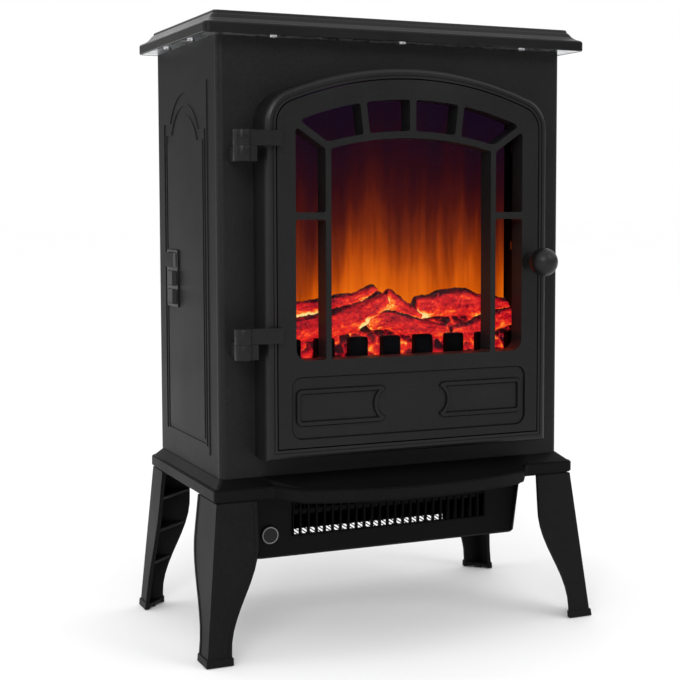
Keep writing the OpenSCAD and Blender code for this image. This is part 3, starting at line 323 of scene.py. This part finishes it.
BADGE = ringed("badge_ring", "housing_badge")
SATIN = coated("satin_casing", grey(0.0072), 0.40, shine=0.05)
SHEET = coated("powder_coat", grey(0.0105), 0.40, shine=0.09, grain=0.0011, depth=0.00012)
SIDE = coated("side_coat", grey(0.0105), 0.42, shine=0.05, grain=0.0011, depth=0.00012)
CAST = coated("door_coat", grey(0.0086), 0.34, shine=0.12, grain=0.0009, depth=0.00008)
FRAME = coated("surround_coat", grey(0.0062), 0.34, shine=0.20)
LID = coated("lid_coat", grey(0.0050), 0.30, shine=0.16, grain=0.0009, depth=0.00006)
PLINTH = coated("plinth_coat", grey(0.0042), 0.42, shine=0.05)
# Painted shade: the heater housing is the same black moulding as the legs and lid, coloured darker here
# for the shade it sits in under the plinth.
POD_SHADED = coated("pod_coat_and_painted_shade", grey(0.0022), 0.45, shine=0.07)
IRON = coated("grate_black", (0.0012, 0.0012, 0.0020), 0.75, shine=0.05, grain=0.0016, depth=0.00015)
LINER = coated("liner_black", (0.0012, 0.0010, 0.0016), 0.6, shine=0.08)
GRILLE = coated("grille_black", grey(0.0014), 0.4, shine=0.04)
EMBER = embers("ember_glow")
KNOB = moulded("knob_black", grey(0.004), 0.40, shine=0.25)
TRIM = moulded("trim_black", grey(0.005), 0.38, shine=0.25)
ROCKER = moulded("rocker_grey", (0.008, 0.008, 0.009), 0.38, shine=0.3)
SCREW = metal("screw_bright", (0.78, 0.78, 0.80), 0.2)
STEEL = metal("motor_steel", (0.52, 0.52, 0.54), 0.32)
FOIL = metal("foil_bright", (0.88, 0.88, 0.90), 0.12)
ZINC = galvanised("zinc_sheet")
NYLON = moulded("nylon_white", (0.80, 0.79, 0.74), 0.45)
# Painted shade: the heater frame is coloured near black so it stands for the dark inside the heater
# housing, not for the board's own colour.
SHADED_HEATER_FRAME = moulded("heater_frame_painted_shade", (0.012, 0.011, 0.009), 0.6, shine=0.1)
BOARD = moulded("lamp_board_green", (0.03, 0.20, 0.07), 0.35)
FEET = moulded("foot_rubber", grey(0.015), 0.8)
GLASS = clear_glass("door_glass_clear")
FLAME = flames("flame_glow")

LEGS = "leg_front_left leg_front_right leg_rear_left leg_rear_right"
ROCKERS = "flame_switch low_heat_switch high_heat_switch"
FINISH = [
    (LID, "lid"),
    (FRAME, "door_surround"),
    (SATIN, LEGS),
    (PLINTH, "base_plinth"),
    (POD_SHADED, "heater_housing"),
    (SHEET, "front_panel rear_cover"),
    (SIDE, "side_panel_left side_panel_right"),
    (CAST, "door hinge_brackets"),
    (IRON, "ember_grate ember_tray log_bed"),
    (LINER, "liner_left liner_right liner_top"),
    (GRILLE, "outlet_grille intake_guard impeller"),
    (KNOB, "door_knob"),
    (TRIM, "switch_bezel cord_gland"),
    (BADGE, "housing_badge"),
    (ROCKER, ROCKERS),
    (SCREW, "lid_screws rear_screws leg_screws housing_screws knob_screw glass_clips "
            "strike_plate latch_magnet hinge_pins"),
    (STEEL, "spindle_motor blower_motor thermal_cutout"),
    (FOIL, "flame_spindle"),
    (ZINC, "top_plate floor_plate scroll_plate"),
    (NYLON, "spindle_bush impeller_bush terminal_block"),
    (SHADED_HEATER_FRAME, "heating_element"),
    (BOARD, "lamp_board"),
    (FEET, "foot_pads"),
    (GLASS, "door_glass"),
    (FLAME, "flame_screen"),
]
for material, names in FINISH:
    for name in names.split():
        mesh = NODES[name].data
        mesh.materials.clear()
        mesh.materials.append(material)

# ---- Fire: where it lies, and what its pieces share ----

TRAY_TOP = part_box("ember_tray")[1].z
SCREEN_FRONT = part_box("flame_screen")[0].y
GRATE_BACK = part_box("ember_grate")[1].y
BED_LOW, BED_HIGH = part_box("log_bed")
MID_X = 0.5 * (BED_LOW.x + BED_HIGH.x)
HALF_BED = BED_HIGH.x - MID_X
SCREEN_GAP = 1.5 * MM


def spot(x, y, z):
    """A place in the fire, in millimetres: x from the middle, y back from the grate, z over the tray."""
    return Vector((MID_X + x * MM, GRATE_BACK + y * MM, TRAY_TOP + z * MM))


def clamp(value, low, high):
    return min(max(value, low), high)


def smooth_step(low, high, value):
    """0 at low and 1 at high, whichever of the two is larger, and held beyond them."""
    t = clamp((value - low) / (high - low), 0.0, 1.0)
    return t * t * (3 - 2 * t)


def finish_mesh(name, mesh, heats):
    """Gives a fire mesh its heat for each vertex and its material, and fixes it to the cabinet."""
    attribute = mesh.attributes.new("ember", "FLOAT", "POINT")
    attribute.data.foreach_set("value", heats)
    mesh.shade_smooth()
    mesh.materials.append(EMBER)
    piece = bpy.data.objects.new(name, mesh)
    bpy.context.scene.collection.objects.link(piece)
    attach(piece, "cabinet")
    return piece


# ---- Ember bed ----

MOUND_COLUMNS, MOUND_ROWS = 300, 44
# Part of the spacing of the rows that widens towards the screen
MOUND_EASE = 0.75
# Gaps beside, before and behind the mound, and the sizes of its lumps and crumbs, in millimetres
BED_SIDE_GAP = 1
MOUND_FRONT = 0.8
MOUND_BACK_GAP = 2.5
LUMP = Vector((11.0, 9.0, 9.0))
CRUMB = 3.5


def mound_height(v):
    """Height of the mound in millimetres, from the grate at v = 0 to the screen at v = 1."""
    return 2 + 34 * smooth_step(-0.1, 0.6, v) + 16 * smooth_step(0.6, 0.95, v)


def mound_spot(x, y, z):
    """A point of the mound raised by its lumps, and how hot it is."""
    distances, cells = noise.voronoi(Vector((x / LUMP.x, y / LUMP.y, z / LUMP.z)),
                                     distance_metric="DISTANCE", exponent=2.5)
    edge = distances[1] - distances[0]
    tone = noise.cell(cells[0] * 7.3)
    rough = noise.fractal(Vector((x / CRUMB, y / CRUMB, z / CRUMB)), 0.9, 2.0, 3)
    wave = noise.noise(Vector((x / 24.0, y / 16.0, 0)))
    lift = 3.2 * smooth_step(0.0, 0.35, edge) + 1.0 * rough + 2.5 * wave
    point = spot(x, y, max(1.2, z + lift))
    point.y = clamp(point.y, GRATE_BACK + 0.5 * MM, SCREEN_FRONT - SCREEN_GAP)
    heat = 0.70 - 0.36 * smooth_step(0.0, 0.30, edge) + 0.30 * (tone - 0.5) - 0.16 * rough
    return point, heat - 0.42 * smooth_step(18, 3, z)


def ember_bed():
    """A mound of glowing lumps behind the grate, closed underneath."""
    across, deep = MOUND_COLUMNS, MOUND_ROWS
    depth = (SCREEN_FRONT - GRATE_BACK) / MM - MOUND_BACK_GAP
    half = HALF_BED / MM
    mesh = bpy.data.meshes.new("ember_mound")
    vertices, faces, heats = [], [], []
    for i in range(across + 1):
        x = -half + BED_SIDE_GAP + i / across * 2 * (half - BED_SIDE_GAP)
        for j in range(deep + 1):
            v = j / deep
            y = MOUND_FRONT + depth * (v * v * MOUND_EASE + v * (1 - MOUND_EASE))
            point, heat = mound_spot(x, y, mound_height(v))
            vertices.append(point)
            heats.append(heat)
    stride = deep + 1
    for i in range(across):
        for j in range(deep):
            here, beyond = i * stride + j, (i + 1) * stride + j
            faces.append((here, beyond, beyond + 1, here + 1))
    # A row of points under the front edge and one under the back edge close it below
    under = len(vertices)
    for i in range(across + 1):
        for j in (0, deep):
            above = vertices[i * stride + j]
            vertices.append(Vector((above.x, above.y, TRAY_TOP + 0.4 * MM)))
            heats.append(0.1)
    for i in range(across):
        front, back = under + 2 * i, under + 2 * i + 1
        here, beyond = i * stride, (i + 1) * stride
        faces.append((front, front + 2, beyond, here))
        faces.append((here + deep, beyond + deep, back + 2, back))
        faces.append((back, back + 2, front + 2, front))
    faces.append([under, *range(deep + 1), under + 1])
    last = across * stride
    faces.append([under + 2 * across + 1, *range(last + deep, last - 1, -1), under + 2 * across])
    mesh.from_pydata([tuple(v) for v in vertices], [], faces)
    return finish_mesh("ember_mound", mesh, heats)


# ---- Logs ----

# Rings along a log, and points round each
RINGS, AROUND = 130, 72
LOG_TOP = BED_HIGH.z
# Places looked up along another log, and the distance over which a crevice opens out
NEAR_STEPS = 40
NEAR_REACH = 9 * MM
# Shares of a log at each end that are cooler, rough and tapered, and the share of its radius left there
END_COOL = 0.012
END_ROUGH = 0.02
END_TAPER = 0.05
END_RADIUS = 0.62

# Each log: points of its line in millimetres, as in spot(), with its radius at each
LOGS = {
    "log_back_left": [
        ((-146, 26, 58), 8), ((-100, 25, 60), 9), ((-70, 25, 63), 9), ((-46, 25, 66), 9),
        ((-24, 25, 70), 8), ((-2, 24, 78.5), 8)],
    "log_front_left": [
        ((-148, 16, 38), 12), ((-100, 14, 42), 12), ((-56, 13, 49), 12.5), ((-32, 13, 53), 13),
        ((-12, 14, 62), 12.5), ((3, 16, 71), 11)],
    "log_middle": [
        ((4, 22, 72), 10), ((16, 22, 64), 9.5), ((30, 22, 54), 10), ((44, 20, 48), 9)],
    "log_front_middle": [
        ((-18, 10, 47), 9), ((0, 9, 51), 9.5), ((24, 9, 45), 9.5), ((48, 9, 40), 8.5),
        ((68, 9, 37), 6.5)],
    "log_back_right": [
        ((39, 24, 60), 12), ((56, 24, 60.5), 12), ((72, 24, 64), 13.5), ((94, 24, 64), 13.5),
        ((116, 23, 58), 12.5), ((148, 23, 57), 12)],
    "log_front_right": [
        ((76, 12, 33), 8), ((96, 12, 36), 9.5), ((118, 12, 43), 11), ((148, 12, 50), 11)],
}


def rounded(p, f):
    """Catmull-Rom curve from p[1] to p[2], as f goes from 0 to 1."""
    return 0.5 * (2 * p[1] + (p[2] - p[0]) * f + (2 * p[0] - 5 * p[1] + 4 * p[2] - p[3]) * f * f
                  + (3 * p[1] - p[0] - 3 * p[2] + p[3]) * f ** 3)


def axis_at(points, t):
    """Place and radius at t from 0 to 1 on a log's line, rounded through its points."""
    count = len(points) - 1
    k = min(int(t * count), count - 1)
    f = t * count - k
    rows = [points[clamp(k + j, 0, count)] for j in (-1, 0, 1, 2)]
    x, y, z = (rounded([where[pick] for where, _ in rows], f) for pick in range(3))
    radius = rounded([size for _, size in rows], f)
    return spot(x, y, z), radius * MM


def near_logs(others):
    """A search tree of places along the other logs, and the radius at each."""
    places = [axis_at(other, k / NEAR_STEPS) for other in others for k in range(NEAR_STEPS + 1)]
    tree = kdtree.KDTree(len(places))
    for k, (where, _) in enumerate(places):
        tree.insert(where, k)
    tree.balance()
    return tree, [size for _, size in places]


def ring_axes(points, t):
    """Directions along, beside and above a log's line at t."""
    ahead, _ = axis_at(points, min(1.0, t + 0.01))
    behind, _ = axis_at(points, max(0.0, t - 0.01))
    run = (ahead - behind).normalized()
    side = run.cross(Vector((0, 0, 1))).normalized()
    return run, side, side.cross(run)


def bark_at(base, t, radius, angle):
    """Noises of the bark at a point of the plain round log: bark, knot, ridge and crust."""
    bark = noise.fractal(Vector((base.x * 30, base.y * 90, base.z * 90)), 0.8, 2.1, 4)
    knot = noise.noise(Vector((base.x * 38 + 7, base.y * 38, base.z * 38)))
    turn = Vector((t * 9 + radius * 300, math.cos(angle) * 3.2, math.sin(angle) * 3.2))
    ridge = abs(noise.noise(turn))
    crust = noise.noise(base * 420)
    return bark, knot, ridge, crust


def log_heat(facing_up, crevice, bark, ridge, crust, end):
    """Charred on top, glowing below, and hottest in the crevices between logs."""
    heat = 0.53 - 0.36 * smooth_step(0.55, 1.0, facing_up) + 0.14 * smooth_step(0.1, -0.9, facing_up)
    heat += 0.52 * crevice * smooth_step(0.7, -0.3, facing_up)
    heat -= 0.12 * smooth_step(0.1, 0.55, ridge) + 0.18 * bark + 0.16 * crust
    return heat - 0.18 if end < END_COOL else heat


def log_mesh(name, points, others):
    """One log, closed at both ends, with a glow that follows its bark and the gaps to the others."""
    tree, sizes = near_logs(others)
    mesh = bpy.data.meshes.new(name)
    vertices, faces, heats = [], [], []
    for i in range(RINGS + 1):
        t = i / RINGS
        centre, radius = axis_at(points, t)
        run, side, up = ring_axes(points, t)
        end = min(t, 1 - t)
        taper = END_RADIUS + (1 - END_RADIUS) * smooth_step(0.0, END_TAPER, end)
        for j in range(AROUND):
            angle = 2 * math.pi * j / AROUND
            out = side * math.cos(angle) + up * math.sin(angle)
            base = centre + out * radius * taper
            bark, knot, ridge, crust = bark_at(base, t, radius, angle)
            point = base + out * (bark * 1.9 + knot * 2.8 - ridge * 1.2 + crust * 1.2) * MM
            point += run * (noise.noise(base * 160) * 1.6 * MM if end < END_ROUGH else 0)
            point.y = clamp(point.y, GRATE_BACK + 0.6 * MM, SCREEN_FRONT - SCREEN_GAP)
            point.z = clamp(point.z, TRAY_TOP + 1 * MM, LOG_TOP + 1 * MM)
            near = min((gap - sizes[k]) / NEAR_REACH for _, k, gap in tree.find_n(point, 4))
            crevice = 1 - smooth_step(-0.6, 0.85, near)
            vertices.append(point)
            heats.append(log_heat(out.z, crevice, bark, ridge, crust, end))
    for i in range(RINGS):
        for j in range(AROUND):
            k = (j + 1) % AROUND
            here, beyond = i * AROUND, (i + 1) * AROUND
            faces.append((here + j, here + k, beyond + k, beyond + j))
    for ring, loop in ((0, range(AROUND - 1, -1, -1)), (RINGS, range(AROUND))):
        rim = ring * AROUND
        middle = len(vertices)
        vertices.append(sum(vertices[rim:rim + AROUND], Vector()) / AROUND)
        heats.append(0.22)
        for n, j in enumerate(loop):
            faces.append((middle, rim + j, rim + loop[(n + 1) % AROUND]))
    mesh.from_pydata([tuple(v) for v in vertices], [], faces)
    return finish_mesh(name, mesh, heats)


bed = ember_bed()
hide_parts("log_bed")
for log_name, line in LOGS.items():
    log_mesh(log_name, line, [other for key, other in LOGS.items() if key != log_name])

# ---- Soft edges ----

WELD_GAP = 0.01 * MM


def soften(names, width):
    """Rounds the sharp edges of CAD nodes a little."""
    for name in names.split():
        piece = NODES[name]
        weld = piece.modifiers.new("weld", "WELD")
        weld.merge_threshold = WELD_GAP
        edge = piece.modifiers.new("edges", "BEVEL")
        edge.width = width
        edge.segments = 2
        edge.limit_method = "ANGLE"
        edge.angle_limit = math.radians(40)
        edge.harden_normals = True


soften("door hinge_brackets side_panel_left side_panel_right heater_housing switch_bezel", 0.6 * MM)
soften(ROCKERS, 0.6 * MM)
soften(LEGS, 0.8 * MM)

# ---- Stage, light, camera ----

FLOOR_REACH = 30.0
WORLD_GLOW = 0.36
LIT_SPOT = (0, 0, 0.35)


def add_object(name, data):
    thing = bpy.data.objects.new(name, data)
    bpy.context.scene.collection.objects.link(thing)
    return thing


def aim(thing, where, target):
    """Puts a lamp or camera at where, facing target."""
    thing.location = where
    thing.rotation_euler = (Vector(target) - Vector(where)).to_track_quat("-Z", "Y").to_euler()


def build_floor():
    """A plain pale floor that reaches out of view."""
    reach = FLOOR_REACH
    mesh = bpy.data.meshes.new("floor")
    corners = [(-reach, -reach, 0), (reach, -reach, 0), (reach, reach, 0), (-reach, reach, 0)]
    mesh.from_pydata(corners, [], [(0, 1, 2, 3)])
    floor = add_object("floor", mesh)
    material, tree, shader = new_material("floor_pale")
    cloud = noise_at(tree, place(tree), 3.0, 3.0)
    tone = ramp(tree, cloud, [(0.3, grey(0.86)), (0.7, grey(0.88))])
    tree.links.new(tone, shader.inputs["Base Color"])
    shader.inputs["Roughness"].default_value = 0.7
    shader.inputs["Specular IOR Level"].default_value = 0.2
    mesh.materials.append(material)


def build_world():
    """A white backdrop for the camera, which lights the object less than it looks."""
    world = bpy.data.worlds.new("studio")
    world.use_nodes = True
    tree = world.node_tree
    seen = tree.nodes["Background"]
    seen.inputs["Color"].default_value = (1, 1, 1, 1)
    unseen = tree.nodes.new("ShaderNodeBackground")
    unseen.inputs["Color"].default_value = (1, 1, 1, 1)
    unseen.inputs["Strength"].default_value = WORLD_GLOW
    path = tree.nodes.new("ShaderNodeLightPath")
    mix = tree.nodes.new("ShaderNodeMixShader")
    tree.links.new(path.outputs["Is Camera Ray"], mix.inputs["Fac"])
    tree.links.new(unseen.outputs["Background"], mix.inputs[1])
    tree.links.new(seen.outputs["Background"], mix.inputs[2])
    tree.links.new(mix.outputs["Shader"], tree.nodes["World Output"].inputs["Surface"])
    bpy.context.scene.world = world
    bpy.context.scene.view_settings.view_transform = "Standard"


def overhead_light(power, spread):
    """Soft light straight down, spread wide enough to leave hardly any shadow edge."""
    light = bpy.data.lights.new("overhead", "SUN")
    light.energy = power
    light.angle = math.radians(spread)
    add_object("overhead", light)


def area_light(name, where, size, power):
    """A soft box facing the middle of the stove."""
    light = bpy.data.lights.new(name, "AREA")
    light.shape = "RECTANGLE"
    light.size, light.size_y = size
    light.energy = power
    aim(add_object(name, light), where, LIT_SPOT)


build_floor()
build_world()
overhead_light(2.5, 150)
area_light("key", (-1.5, -2.4, 1.7), (1.2, 1.2), 34)
area_light("side", (-2.6, 0.5, 0.9), (0.8, 1.6), 8)
area_light("front", (1.6, -2.2, 2.3), (1.0, 1.0), 12)

# The camera was fitted to edges of the stove in the photograph
CAMERA_AT = (-0.5867, -1.3307, 0.4215)
CAMERA_TARGET = (0.0487, 0.0319, 0.31005)
camera = bpy.data.cameras.new("camera")
camera.lens = 75.97
camera.sensor_width = 36
camera.shift_x = -0.0882
camera.shift_y = -0.0411
eye = add_object("camera", camera)
aim(eye, CAMERA_AT, CAMERA_TARGET)
bpy.context.scene.camera = eye
